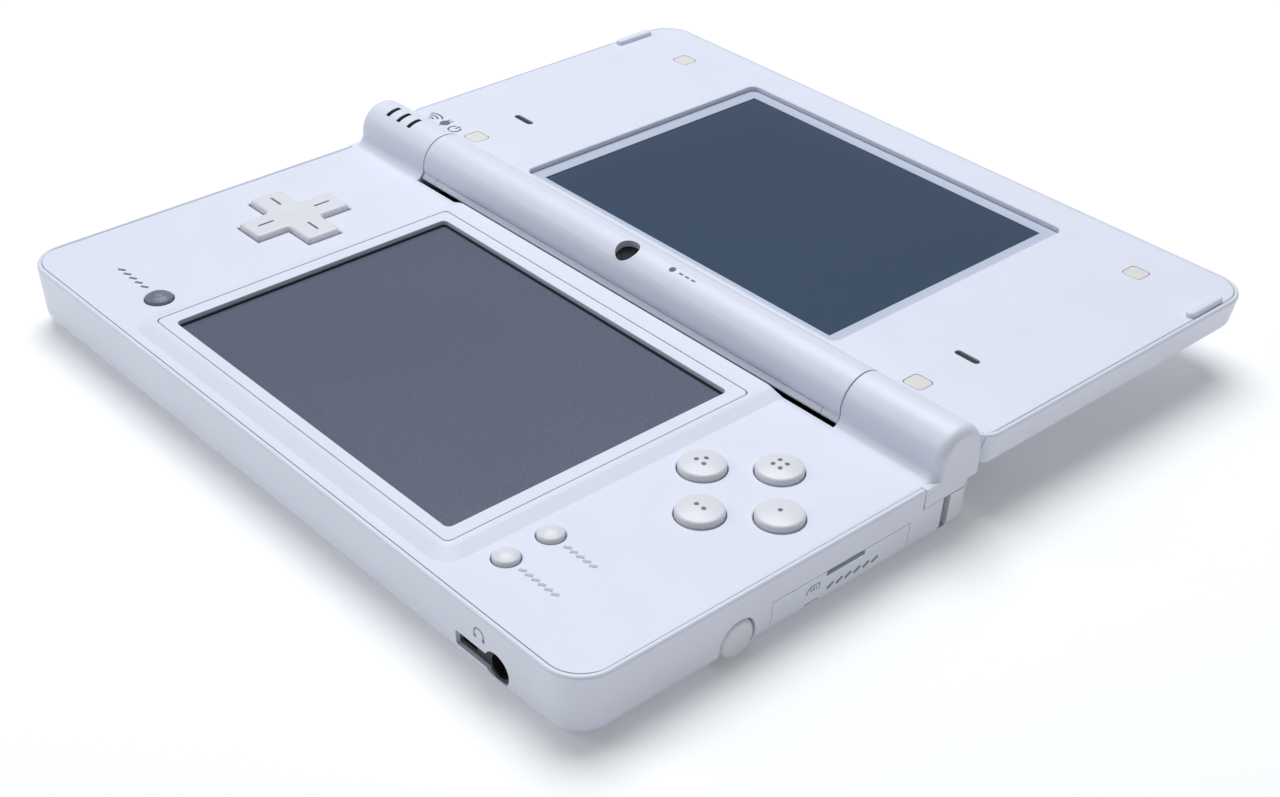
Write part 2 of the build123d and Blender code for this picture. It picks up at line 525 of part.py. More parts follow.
with BuildPart() as card_contacts:
    with Locations((0, -28.4, CARD_Z[0])):
        with GridLocations(1.95, 1, 17, 1):
            Box(0.9, 4.6, 0.3, align=(Align.CENTER, Align.CENTER, Align.MIN))
save(card_contacts, "card_contacts")

with BuildPart() as charge_port:
    span_box((CHARGE_X - 4.1, CHARGE_X + 4.1), (-6.5, BASE_REAR - 0.6), (2.7, 5.7))
    span_box((CHARGE_X - 3.5, CHARGE_X + 3.5), (-4.5, BASE_REAR), (3.1, 5.3), Mode.SUBTRACT)
    span_box((CHARGE_X - 2.6, CHARGE_X + 2.6), (-5.0, BASE_REAR - 1.4), (4.0, 4.5))
save(charge_port, "charge_port")

with BuildPart() as headphone_jack:
    span_box((JACK_X - 9.6, JACK_X + 3.2), (-REACH + 3.2, -57.6), (FLOOR_TOP + 0.6, BOARD_Z - 0.2))
    with Locations(Location((JACK_X, -REACH + 3.3, JACK_Z), (90, 0, 0))):
        Cylinder(2.3, 2.2, align=(Align.CENTER, Align.CENTER, Align.MIN))
    with BuildSketch(Plane.XZ.offset(REACH - 1.1)) as slot_face:
        with Locations((JACK_X - 4, JACK_Z)):
            RectangleRounded(JACK_SLOT[0] - 2 * SEAM, JACK_SLOT[1] - 2 * SEAM, 0.3)
    extrude(amount=-2.2)
    with BuildSketch(Plane.XZ.offset(REACH)) as side_contacts:
        with Locations((JACK_X - 6.2, JACK_Z)):
            Rectangle(3.0, 0.9)
    extrude(amount=-7, mode=Mode.SUBTRACT)
    with Locations(Location((JACK_X, -REACH - 1, JACK_Z), (-90, 0, 0))):
        Cylinder(JACK_BORE_R, 12.0, align=(Align.CENTER, Align.CENTER, Align.MIN), mode=Mode.SUBTRACT)
save(headphone_jack, "headphone_jack")

SD_X, SD_Y = (38.5, 64.4), (-36.0, -10.6)
with BuildPart() as sd_card_socket:
    span_box((SD_X[0], SD_X[1]), SD_Y, (2.6, BOARD_Z - 0.2))
    span_box((SD_X[0] + 2, SD_X[1] + 2), (SD_Y[0] + 0.8, SD_Y[1] - 0.4), (3.1, 5.4), Mode.SUBTRACT)
save(sd_card_socket, "sd_card_socket")

SLEEVE_X = (-24.2, 61.0)
with BuildPart() as stylus_sleeve:
    span_box(SLEEVE_X, (STYLUS_Y - 2.8, STYLUS_Y + 2.8), (FLOOR_TOP + 0.02, BOARD_Z - 0.15))
    span_box((SLEEVE_X[0] + 1.0, SLEEVE_X[1] + 1), (STYLUS_Y - 2.2, STYLUS_Y + 2.2), (0, 5.95), Mode.SUBTRACT)
save(stylus_sleeve, "stylus_sleeve")

with BuildPart() as hinge_bushes:
    for side in (-1, 1):
        with BuildSketch(Plane.YZ.offset(side * (KNUCKLE_IN + 0.1))) as bush:
            with Locations(AXIS):
                Circle(BUSH_R - 0.01)
                Circle(SHAFT_R + 0.05, mode=Mode.SUBTRACT)
        extrude(amount=side * BUSH_L)
save(hinge_bushes, "hinge_bushes")

with BuildPart() as indicator_windows:
    for x in LIGHTS_X:
        with Locations(Location((x, *around_axis(LIGHT_LEAN, BARREL_R)), (LIGHT_LEAN, 0, 0))):
            Box(LIGHT_W - 0.04, LIGHT_L - 0.04, 2.3)
    with BuildSketch(Plane.YZ) as crest:
        with Locations(AXIS):
            Circle(BARREL_R - 0.08)
    extrude(amount=-HALF_W, mode=Mode.INTERSECT)
save(indicator_windows, "indicator_windows")

# ---------------------------------------------------------------- stylus, card door, side buttons
STYLUS_R, STYLUS_HEAD_R = 1.85, 2.95
STYLUS_TIP, STYLUS_END = -22.5, HALF_W - 0.25
with BuildPart() as stylus:
    with BuildSketch(Plane.XY.offset(STYLUS_Z)) as stylus_profile:
        with BuildLine():
            Polyline((STYLUS_TIP, STYLUS_Y), (STYLUS_TIP, STYLUS_Y + 0.5), (STYLUS_TIP + 3.5, STYLUS_Y + 1.0),
                     (STYLUS_TIP + 7.5, STYLUS_Y + STYLUS_R), (STYLUS_END - 6.25, STYLUS_Y + STYLUS_R),
                     (STYLUS_END - 5.45, STYLUS_Y + STYLUS_HEAD_R), (STYLUS_END, STYLUS_Y + STYLUS_HEAD_R),
                     (STYLUS_END, STYLUS_Y), (STYLUS_TIP, STYLUS_Y))
        make_face()
    revolve(axis=Axis((0, STYLUS_Y, STYLUS_Z), (1, 0, 0)))
    fillet(stylus.edges().group_by(Axis.X)[0], 0.45)
    fillet(stylus.edges().group_by(Axis.X)[-1], 0.8)
    span_box((-HALF_W, WIDTH), (STYLUS_Y - 5, STYLUS_Y + 5), (-3, SOLE_Z + 0.5), Mode.SUBTRACT)
save(stylus, "stylus")

with BuildPart() as sd_door:
    add(base_form.part)
    span_box((HALF_W - 3.3, HALF_W + 1), SD_DOOR_Y, (SOLE_Z - 1, SD_DOOR_TOP), Mode.INTERSECT)
    span_box((0, HALF_W - 2.1), (-REACH, 0), (SOLE_Z + 1.4, FACE_Z), Mode.SUBTRACT)
    with Locations((HALF_W, NOTCH_Y, SD_DOOR_TOP)):
        Box(10.0, NOTCH_W, 2 * NOTCH_DEEP, mode=Mode.SUBTRACT)
save(sd_door, "sd_door")

PIN_X, PIN_Y = SHOULDER_IN + 1.6, BASE_REAR - 1.9
for side, place in ((-1, "left"), (1, "right")):
    with BuildPart() as shoulder_button:
        add(base_form.part)
        with BuildSketch(Plane.XY.offset(SHOULDER_Z[0])) as wrap:
            with Locations((side * SHOULDER_IN, BASE_REAR + 1)):
                Rectangle(20, 3.9, align=(Align.MIN if side > 0 else Align.MAX, Align.MAX))
            with Locations((side * (HALF_W - 3.2), BASE_REAR + 1)):
                Rectangle(6, BASE_REAR + 1 - SHOULDER_FRONT, align=(Align.MIN if side > 0 else Align.MAX, Align.MAX))
        extrude(amount=SHOULDER_Z[1] - SHOULDER_Z[0], mode=Mode.INTERSECT)
        with Locations((side * PIN_X, PIN_Y, 0)):
            Cylinder(0.65, 40, mode=Mode.SUBTRACT)
    save(shoulder_button, f"shoulder_button_{place}")

with BuildPart() as shoulder_pins:
    with Locations(*[(side * PIN_X, PIN_Y, SHOULDER_Z[0] - 0.2) for side in (-1, 1)]):
        Cylinder(0.6, SHOULDER_Z[1] - SHOULDER_Z[0] + 0.4, align=(Align.CENTER, Align.CENTER, Align.MIN))
save(shoulder_pins, "shoulder_pins")

with BuildPart() as shoulder_switches:
    for side in (-1, 1):
        span_box(sorted((side * (HALF_W - 10.5), side * (HALF_W - 3.9))), (SHOULDER_FRONT - 3.1, 0.5),
                 (SHOULDER_Z[0] + 0.1, SHOULDER_Z[1] - 0.2))
save(shoulder_switches, "shoulder_switches")

with BuildPart() as volume_rocker:
    with BuildSketch(Plane.YZ.offset(-HALF_W - 0.2)) as rocker:
        with Locations((VOLUME_Y, VOLUME_Z)):
            RectangleRounded(2 * VOLUME_HALF[0] - 0.4, 2 * VOLUME_HALF[1] - 0.4, 1.1)
    extrude(amount=2.6)
    fillet(volume_rocker.edges().group_by(Axis.X)[0], 0.35)
save(volume_rocker, "volume_rocker")

# ---------------------------------------------------------------- outer form of the lid
LID_SKIRT = (LID_NEAR, LID_NEAR + 0.8)      # end wall hanging from the inner plate
with BuildPart() as lid_form:
    with BuildSketch(Plane.XY.offset(LID_IN_Z)) as lid_outline:
        with Locations((0, LID_MID)):
            Rectangle(WIDTH, LID_DEPTH)
        fillet(lid_outline.vertices().group_by(Axis.Y)[0], LID_NEAR_R)
        fillet(lid_outline.vertices().group_by(Axis.Y)[-1], FRONT_R)
    extrude(amount=-(LID_IN_Z - LID_OUT_Z), taper=LID_DRAFT)
    fillet(lid_form.edges().group_by(Axis.Z)[0], LID_EDGE_R)

LID_SCREWS = [(side * x, y) for side in (-1, 1) for x, y in ((52.1, 8.95), (53.1, 60.1))]
PAD_W, PAD_D, PAD_T = 3.5, 3.3, 0.6
STOP_X, STOP_Y, STOP_L, STOP_W, STOP_T = 66.7, 59.2, 8.6, 1.7, 0.85
SPEAKER_X, SPEAKER_Y = 52.25, 19.8
SPEAKER_SLOT = (4.6, 1.3)
CAMERA_X, CAMERA_R = 0.2, 2.05
CAMERA_AT = Location((CAMERA_X, -1.8, 17.74), (10, 0, 0))     # on the barrel, looking out and up
CAMERA_DOWN = (1.15, 3.6)     # lens face and back of the camera below that point
MIC_X, MIC_LEAN = 9.9, 12.9
OUTER_CAMERA = (60.2, 12.6)

with BuildPart() as lid_outer_shell:
    add(lid_form.part)
    fillet(lid_outer_shell.edges().group_by(Axis.Z)[-1], RIM_R)
    with BuildSketch(Plane.XY.offset(LID_PLATE_Z)) as lid_cavity:
        with Locations((0, LID_MID)):
            RectangleRounded(WIDTH - 2 * WALL, LID_DEPTH - 2 * WALL, LID_NEAR_R)
    extrude(amount=-(LID_PLATE_Z - LID_OUT_Z - WALL), taper=LID_DRAFT, mode=Mode.SUBTRACT)
    with BuildSketch(Plane.XY.offset(LID_PLATE_Z)) as lid_plate_seat:
        with Locations((0, LID_MID)):
            Rectangle(WIDTH - 2 * RIM, LID_DEPTH - 2 * RIM)
        fillet(lid_plate_seat.vertices().group_by(Axis.Y)[0], LID_NEAR_R - RIM)
        fillet(lid_plate_seat.vertices().group_by(Axis.Y)[-1], FRONT_R - RIM)
    extrude(amount=SKIN + 1, mode=Mode.SUBTRACT)
    with BuildSketch(Plane.XY.offset(LID_IN_Z)) as lid_seat_mouth:
        with Locations((0, LID_MID)):
            Rectangle(WIDTH - 2 * (RIM - EASE), LID_DEPTH - 2 * (RIM - EASE))
        fillet(lid_seat_mouth.vertices().group_by(Axis.Y)[0], LID_NEAR_R - RIM + EASE)
        fillet(lid_seat_mouth.vertices().group_by(Axis.Y)[-1], FRONT_R - RIM + EASE)
    break_edges()
    span_box((-HALF_W, HALF_W), (LID_NEAR - 1, LID_SKIRT[1] + SEAM), (LID_OUT_Z + 1.5, LID_IN_Z + 1),
             Mode.SUBTRACT)
    with BuildSketch(Plane.XY.offset(LID_OUT_Z + 1.0)) as lid_bosses:
        with Locations(*LID_SCREWS):
            Circle(BOSS_R)
    extrude(amount=LID_PLATE_Z - LID_OUT_Z - 1.1)
    with Locations(*[(x, y, LID_PLATE_Z) for x, y in LID_SCREWS]):
        Cylinder(SCREW_R + SEAM, 7.0, mode=Mode.SUBTRACT)
    with Locations((*OUTER_CAMERA, LID_OUT_Z)):
        Cylinder(3.0, 8.0, mode=Mode.SUBTRACT)
save(lid_outer_shell, "lid_outer_shell")

# ---------------------------------------------------------------- lid, inner plate and barrel
with BuildPart() as lid_inner_faceplate:
    with BuildSketch(Plane.XY.offset(LID_PLATE_Z)) as lid_plate:
        with Locations((0, REACH - RIM - SEAM)):
            Rectangle(WIDTH - 2 * (RIM + SEAM), LID_DEPTH - RIM - 0.4, align=(Align.CENTER, Align.MAX))
        fillet(lid_plate.vertices().group_by(Axis.Y)[0], LID_NEAR_R - RIM + 0.2)
        fillet(lid_plate.vertices().group_by(Axis.Y)[-1], FRONT_R - RIM - SEAM)
    extrude(amount=SKIN)
    chamfer(lid_inner_faceplate.edges().group_by(Axis.Z)[-1], EASE)
    with BuildPart(mode=Mode.PRIVATE) as end_skirt:
        add(lid_form.part)
        span_box((-HALF_W, HALF_W), LID_SKIRT, (LID_OUT_Z + 1.55, LID_IN_Z), Mode.INTERSECT)
    add(end_skirt.part)
    # raised stops near the far edge
    for side in (-1, 1):
        with BuildSketch(Plane.XY.offset(LID_IN_Z)) as edge_stop:
            with Locations((side * STOP_X, STOP_Y)):
                SlotOverall(STOP_L, STOP_W, rotation=90)
        extrude(amount=STOP_T)
        tip = lid_inner_faceplate.edges().group_by(Axis.Z)[-1]
        fillet(tip, 0.45)
    # rear half of the barrel, blended into the plate
    foot, touch = barrel_blend(LID_IN_Z, 1)
    with BuildSketch(Plane.YZ) as barrel_rear:
        with BuildLine():
            RadiusArc(foot, touch, BLEND_R)
            ThreePointArc(touch, around_axis(-30), around_axis(0))
            Polyline(around_axis(0), (0, AXIS_Z - BARREL_R))
            ThreePointArc((0, AXIS_Z - BARREL_R), around_axis(-135), around_axis(-115))
            Polyline(around_axis(-115), (LID_SKIRT[1], AXIS_Z - 2.2), (LID_SKIRT[1], LID_PLATE_Z),
                     (foot[0] + 1, LID_PLATE_Z), (foot[0] + 1, LID_IN_Z), foot)
        make_face()
    extrude(amount=BARREL_HALF, both=True)
    with BuildSketch(Plane.YZ) as barrel_bore:
        with Locations(AXIS):
            Circle(BARREL_BORE_R)
    extrude(amount=BARREL_HALF, both=True, mode=Mode.SUBTRACT)
    with Locations(CAMERA_AT * Location((0, 0, 1 - CAMERA_DOWN[1]))):
        Cylinder(CAMERA_R, BARREL_R, align=(Align.CENTER, Align.CENTER, Align.MIN), mode=Mode.SUBTRACT)
    # window, speaker slots and screw pads
    with BuildSketch(Plane.XY.offset(LID_PLATE_Z - 1)) as lid_openings:
        with Locations((0, WINDOW_Y)):
            RectangleRounded(WINDOW_W + 2 * SEAM, WINDOW_D + 2 * SEAM, 1.5)
        with Locations((-SPEAKER_X, SPEAKER_Y), (SPEAKER_X, SPEAKER_Y)):
            SlotOverall(*SPEAKER_SLOT)
    extrude(amount=SKIN + 2, mode=Mode.SUBTRACT)
    with BuildSketch(Plane.XY.offset(LID_IN_Z)) as window_mouth:
        with Locations((0, WINDOW_Y)):
            RectangleRounded(WINDOW_W + 2 * (SEAM + EASE), WINDOW_D + 2 * (SEAM + EASE), 1.5 + EASE)
    break_edges()
    with BuildSketch(Plane.XY.offset(LID_IN_Z - PAD_T)) as pad_seats:
        with Locations(*LID_SCREWS):
            RectangleRounded(PAD_W + 2 * SEAM, PAD_D + 2 * SEAM, 0.8)
    extrude(amount=2, mode=Mode.SUBTRACT)
    with Locations(*[(x, y, LID_PLATE_Z) for x, y in LID_SCREWS]):
        Cylinder(SCREW_R + SEAM, 3.0, mode=Mode.SUBTRACT)
        Cylinder(SCREW_HEAD_R + SEAM, 2.0, align=(Align.CENTER, Align.CENTER, Align.MIN), mode=Mode.SUBTRACT)
save(lid_inner_faceplate, "lid_inner_faceplate")

STRIP_HALF = 46.0
STRIP_Z, STRIP_SINK = (11.05, 12.35), 0.5
STRIP_PROFILE = [(-3.0, STRIP_Z[1]), (-4.66, STRIP_Z[1]), (-5.08, 11.5), (-4.95, 11.2), (-4.65, STRIP_Z[0]),
                 (-3.0, STRIP_Z[0]), (-3.0, STRIP_Z[1])]
with BuildPart() as hinge_barrel_cover:
    with BuildSketch(Plane.YZ) as barrel_front:
        with Locations(AXIS):
            Circle(BARREL_R)
            Circle(BARREL_BORE_R, mode=Mode.SUBTRACT)
        with Locations((-SPLIT, AXIS_Z)):
            Rectangle(20, 20, align=(Align.MAX, Align.CENTER), mode=Mode.INTERSECT)
    extrude(amount=BARREL_HALF, both=True)
    # lip along the lower front, at both ends of the strip
    with BuildSketch(Plane.YZ) as lip:
        with BuildLine():
            Polyline(*STRIP_PROFILE)
        make_face()
        with Locations(AXIS):
            Circle(BARREL_BORE_R + 0.1, mode=Mode.SUBTRACT)
    extrude(amount=BARREL_HALF, both=True)
    with BuildSketch(Plane.YZ) as strip_pocket:
        with Locations((-3.0, (STRIP_Z[0] + STRIP_Z[1]) / 2)):
            Rectangle(3, STRIP_Z[1] - STRIP_Z[0] + 2 * SEAM, align=(Align.MAX, Align.CENTER))
        with Locations(AXIS):
            Circle(BARREL_R - STRIP_SINK - SPLIT, mode=Mode.SUBTRACT)
    extrude(amount=STRIP_HALF + SEAM, both=True, mode=Mode.SUBTRACT)
    with Locations(CAMERA_AT * Location((0, 0, 1 - CAMERA_DOWN[1]))):
        Cylinder(CAMERA_R, BARREL_R, align=(Align.CENTER, Align.CENTER, Align.MIN), mode=Mode.SUBTRACT)
    with Locations(Location((MIC_X, *AXIS), (MIC_LEAN, 0, 0))):
        Cylinder(0.6, 2 * BARREL_R, align=(Align.CENTER, Align.CENTER, Align.MIN), mode=Mode.SUBTRACT)
save(hinge_barrel_cover, "hinge_barrel_cover")

with BuildPart() as barrel_strip:
    with BuildSketch(Plane.YZ) as strip:
        with BuildLine():
            Polyline(*STRIP_PROFILE)
        make_face()
        with Locations(AXIS):
            Circle(BARREL_R - STRIP_SINK, mode=Mode.SUBTRACT)
    extrude(amount=STRIP_HALF, both=True)
save(barrel_strip, "barrel_strip")

with BuildPart() as hinge_shafts:
    for side in (-1, 1):
        with BuildSketch(Plane.YZ.offset(side * (BARREL_HALF - CARRIER_L))) as carrier:
            with Locations(AXIS):
                Circle(BARREL_BORE_R - 0.02)
        extrude(amount=side * CARRIER_L)
        with BuildSketch(Plane.YZ.offset(side * (BARREL_HALF - CARRIER_L))) as shaft:
            with Locations(AXIS):
                Circle(SHAFT_R)
        extrude(amount=side * SHAFT_L)
save(hinge_shafts, "hinge_shafts")

# ---------------------------------------------------------------- lid, camera, sound, display
with BuildPart() as inner_camera:
    with Locations(CAMERA_AT * Location((0, 0, -CAMERA_DOWN[0]))):
        Cylinder(CAMERA_R - 0.05, 1.3, align=(Align.CENTER, Align.CENTER, Align.MAX))
        Cone(1.1, 1.3, 0.12, align=(Align.CENTER, Align.CENTER, Align.MAX), mode=Mode.SUBTRACT)
save(inner_camera, "inner_camera")

with BuildPart() as microphone:
    with Locations(Location((MIC_X, *AXIS), (MIC_LEAN, 0, 0))):
        with Locations((0, 0, 1.6)):
            Cylinder(1.4, 1.4, align=(Align.CENTER, Align.CENTER, Align.MIN))
save(microphone, "microphone")

with BuildPart() as outer_camera:
    with Locations((*OUTER_CAMERA, LID_OUT_Z + 0.15)):
        Cylinder(2.95, 2.6, align=(Align.CENTER, Align.CENTER, Align.MIN))
        Cone(0.8, 1.6, 0.5, align=(Align.CENTER, Align.CENTER, Align.MIN), rotation=(180, 0, 0),
             mode=Mode.SUBTRACT)
save(outer_camera, "outer_camera")

for side, place in ((-1, "left"), (1, "right")):
    with BuildPart() as speaker:
        span_box((side * SPEAKER_X - 7.5, side * SPEAKER_X + 7.5), (SPEAKER_Y - 4.5, SPEAKER_Y + 6.5),
                 (LID_OUT_Z + WALL + 0.9, LID_PLATE_Z - 0.1))
        fillet(speaker.edges().filter_by(Axis.Z), 2.0)
        with Locations((side * SPEAKER_X, SPEAKER_Y, LID_PLATE_Z)):
            Cylinder(3.6, 1.2, mode=Mode.SUBTRACT)
        with BuildSketch(Plane.XY.offset(LID_PLATE_Z - 1.1)) as slot_mesh:
            with Locations((side * SPEAKER_X, SPEAKER_Y)):
                SlotOverall(SPEAKER_SLOT[0] - 0.1, SPEAKER_SLOT[1] - 0.1)
        extrude(amount=SKIN + 0.8)
    save(speaker, f"speaker_{place}")

with BuildPart() as upper_window:
    with BuildSketch(Plane.XY.offset(LID_IN_Z - 0.9)) as window:
        with Locations((0, WINDOW_Y)):
            RectangleRounded(WINDOW_W, WINDOW_D, 1.5)
    extrude(amount=0.9)
    chamfer(upper_window.edges().group_by(Axis.Z)[-1], 0.1)
save(upper_window, "upper_window")

with BuildPart() as window_mask:
    with BuildSketch(Plane.XY.offset(LID_IN_Z - 1.05)) as mask:
        with Locations((0, WINDOW_Y)):
            RectangleRounded(WINDOW_W - 0.1, WINDOW_D - 0.1, 1.4)
        with Locations((0, UPPER_VIEW_Y)):
            Rectangle(UPPER_VIEW_W, UPPER_VIEW_D, mode=Mode.SUBTRACT)
    extrude(amount=0.13)
save(window_mask, "window_mask")

with BuildPart() as upper_lcd:
    with Locations((0, UPPER_VIEW_Y, LID_IN_Z - 1.08)):
        Box(LCD_W - 0.6, LCD_D - 0.6, 2.1, align=(Align.CENTER, Align.CENTER, Align.MAX))
    chamfer(upper_lcd.edges().group_by(Axis.Z)[0], 0.4)
save(upper_lcd, "upper_lcd")

with BuildPart() as display_ribbon:
    span_box((-31.0, -17.0), (LID_SKIRT[1] + 1.2, 36.0), (LID_OUT_Z + WALL + 0.25, LID_OUT_Z + WALL + 0.45))
save(display_ribbon, "display_ribbon")

with BuildPart() as lid_pads:
    with BuildSketch(Plane.XY.offset(LID_IN_Z - PAD_T + 0.02)) as pads:
        with Locations(*LID_SCREWS):
            RectangleRounded(PAD_W, PAD_D, 0.8)
    extrude(amount=PAD_T)
    fillet(lid_pads.edges().group_by(Axis.Z)[-1], 0.15)
save(lid_pads, "lid_pads")

cross_head_screws("lid_screws", LID_SCREWS, LID_IN_Z - PAD_T - 0.02, 0.5, 3.2, turned_over=True)
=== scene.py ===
"""Looks of the pocket clamshell games handheld, opened flat. Metres, in the part's own frame."""
import json
import math

import bmesh
import bpy
from mathutils import Matrix, Vector


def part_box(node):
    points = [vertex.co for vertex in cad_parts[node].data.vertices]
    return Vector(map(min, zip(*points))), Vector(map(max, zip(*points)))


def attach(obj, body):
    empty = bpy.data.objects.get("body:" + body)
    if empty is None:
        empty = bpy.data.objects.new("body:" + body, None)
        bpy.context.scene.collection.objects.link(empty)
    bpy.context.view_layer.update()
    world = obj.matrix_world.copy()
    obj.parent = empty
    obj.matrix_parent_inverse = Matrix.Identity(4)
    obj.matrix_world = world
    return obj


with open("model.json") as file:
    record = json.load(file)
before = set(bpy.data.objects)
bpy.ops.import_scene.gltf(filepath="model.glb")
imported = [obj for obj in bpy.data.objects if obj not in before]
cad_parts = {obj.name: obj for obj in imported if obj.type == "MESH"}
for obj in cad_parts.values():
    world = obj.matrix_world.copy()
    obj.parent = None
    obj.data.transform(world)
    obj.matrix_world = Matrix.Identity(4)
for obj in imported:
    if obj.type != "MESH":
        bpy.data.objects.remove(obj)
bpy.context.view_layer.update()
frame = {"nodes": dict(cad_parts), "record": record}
NODES = frame["nodes"]
MM = 0.001

# ---------------------------------------------------------------- places taken from the frame
FACE_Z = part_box("base_lower_shell")[1].z   # flat face of the base
LID_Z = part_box("lid_outer_shell")[1].z     # inner face of the lid
AXIS_Z = sum(corner.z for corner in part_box("hinge_shafts")) / 2
BARREL_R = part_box("base_faceplate")[1].z - AXIS_Z

# ---------------------------------------------------------------- sizes that the boxes don't give, mm
WALL_X, FRONT_Y = 68.5, -70.45             # the leaning side and front walls at the face
SIDE_DRAFT = math.tan(math.radians(3.5))
SOLE_CURVE_Z, SOLE_CURVE_R = 3.4, 3.0      # rounding under the walls starts at that height
POWER_CAP, ACTION_CAP = (2.15, 0.7), (3.5, 0.45)    # radius and height of the domes on the buttons
PAD_GROOVE, PAD_FILL = 0.15, 0.04          # lines cut in the direction pad, and the fill above their floor
PAD_LINE = (4.15, 6.85)                    # start and end of each, from the pad's middle
TROUGH_R, TROUGH_HALF = 6.35, 49.6         # hollow for the barrel
TROUGH_ANGLES = (21.5, 136.5)              # degrees below the axis, from the user's side
SHADE_SHEET_FACE, SHADE_SHEET_BACK = 0.09, 0.01          # dark sheet of painted shade in that hollow, inside its wall

# ---------------------------------------------------------------- where the marks sit, mm
POWER_LABEL_AT = (-51.2, -60.5)            # x and y on the base's face
START_LABEL_AT, SELECT_LABEL_AT = (49.0, -53.0), (49.6, -60.5)
WIRELESS_AT, CHARGE_AT, STANDBY_AT = (-63.3, 7.7), (-60.1, 7.95), (-57.1, 7.8)      # on the lid's face
MICROPHONE_MARK_X, MICROPHONE_MARK_LEAN = 13.2, 12.9    # along the barrel, and degrees towards the user
CARD_MARK_AT, CARD_LABEL_AT = (-28.6, 3.9), (-20.8, 3.7)    # y and z on the right wall
HEADPHONE_AT = (49.5, 7.9)                 # x and z on the front wall
FINE_LINE, MARK_LINE, LABEL_LINE = 0.24, 0.34, 0.5      # widths of the strokes
PRINT_T, RAISED_T = 0.05, 0.12             # thickness of printed and of raised marks


# ---------------------------------------------------------------- camera and light
CAMERA_AT = Vector((207.87, -189.12, 173.99)) * MM
CAMERA_AZIMUTH, CAMERA_ELEVATION, CAMERA_ROLL = 46.891, 33.452, 1.689
CAMERA_LENS = 57.09
CAMERA_SHIFT = (-0.0123, 0.0016)
SENSOR_W = 36.0
CLIP_NEAR, CLIP_FAR = 0.01, 20.0
FLOOR_HALF = 4.0
PAPER_COLOUR, PAPER_GLOW = (0.98, 0.98, 0.98, 1), 0.1
SKY_COLOUR, SKY_STRENGTH = (0.93, 0.96, 1.0, 1), 0.22
LIT_POINT = (0, 0, 0.01)
# place, width, power and colour of each light
OVERHEAD = ((-0.26, 0.2, 0.92), 0.8, 8.4, (0.96, 0.98, 1.0))
SIDE_FILL = ((-0.75, -0.8, 0.7), 0.6, 2.4, (0.95, 0.96, 1.0))


def make_camera():
    """Camera at the reference viewing angle, tipped a little to one side."""
    azimuth, elevation = math.radians(CAMERA_AZIMUTH), math.radians(CAMERA_ELEVATION)
    forward = Vector((-math.sin(azimuth) * math.cos(elevation),
                      math.cos(azimuth) * math.cos(elevation), -math.sin(elevation)))
    level = forward.cross(Vector((0, 0, 1))).normalized()
    right = Matrix.Rotation(-math.radians(CAMERA_ROLL), 3, forward) @ level
    up = right.cross(forward)
    data = bpy.data.cameras.new("camera")
    data.lens = CAMERA_LENS
    data.sensor_width = SENSOR_W
    data.shift_x, data.shift_y = CAMERA_SHIFT
    data.clip_start, data.clip_end = CLIP_NEAR, CLIP_FAR
    camera = bpy.data.objects.new("camera", data)
    bpy.context.scene.collection.objects.link(camera)
    turn = Matrix((right, up, -forward)).transposed()
    camera.matrix_world = Matrix.Translation(CAMERA_AT) @ turn.to_4x4()
    bpy.context.scene.camera = camera


def area_light(name, place, size, power, colour):
    """Round soft light aimed at the object."""
    data = bpy.data.lights.new(name, "AREA")
    data.shape = "DISK"
    data.size = size
    data.energy = power
    data.color = colour
    light = bpy.data.objects.new(name, data)
    bpy.context.scene.collection.objects.link(light)
    light.location = place
    light.rotation_mode = "QUATERNION"
    light.rotation_quaternion = (Vector(LIT_POINT) - Vector(place)).to_track_quat("-Z", "Y")


def make_studio():
    """Pale floor that glows a little, even surroundings and two soft lights."""
    mesh = bpy.data.meshes.new("floor")
    corners = [(x * FLOOR_HALF, y * FLOOR_HALF, 0) for x, y in ((-1, -1), (1, -1), (1, 1), (-1, 1))]
    mesh.from_pydata(corners, [], [(0, 1, 2, 3)])
    floor = bpy.data.objects.new("floor", mesh)
    bpy.context.scene.collection.objects.link(floor)
    paper = bpy.data.materials.new("floor_paper")
    paper.use_nodes = True
    shader = paper.node_tree.nodes["Principled BSDF"]
    shader.inputs["Base Color"].default_value = PAPER_COLOUR
    shader.inputs["Roughness"].default_value = 0.9
    shader.inputs["Specular IOR Level"].default_value = 0.1
    shader.inputs["Emission Color"].default_value = (1.0, 1.0, 1.0, 1)
    shader.inputs["Emission Strength"].default_value = PAPER_GLOW
    mesh.materials.append(paper)

    world = bpy.data.worlds.new("studio")
    world.use_nodes = True
    world.node_tree.nodes["Background"].inputs["Color"].default_value = SKY_COLOUR
    world.node_tree.nodes["Background"].inputs["Strength"].default_value = SKY_STRENGTH
    bpy.context.scene.world = world
    bpy.context.scene.view_settings.view_transform = "Standard"
    area_light("overhead", *OVERHEAD)
    area_light("side_fill", *SIDE_FILL)


# ---------------------------------------------------------------- materials
NOISE_SPAN = (0.3, 0.7)                    # most of a noise's values lie in that span
BUMP_DEPTH = 0.04 * MM
WINDOW_TINT, WINDOW_ROUGH = (0.985, 0.99, 1.0, 1), 0.06
WINDOW_GLOSS = (0.035, 0.9)                # share of reflection, seen straight on and edge on
WINDOW_STEEP = 5.0                         # how late it rises towards the edge


def linear(red, green, blue):
    """Screen colour values 0-255 as the linear colour the shader takes."""
    values = []
    for value in (red, green, blue):
        share = value / 255
        values.append(share / 12.92 if share <= 0.04045 else ((share + 0.055) / 1.055) ** 2.4)
    return (*values, 1.0)


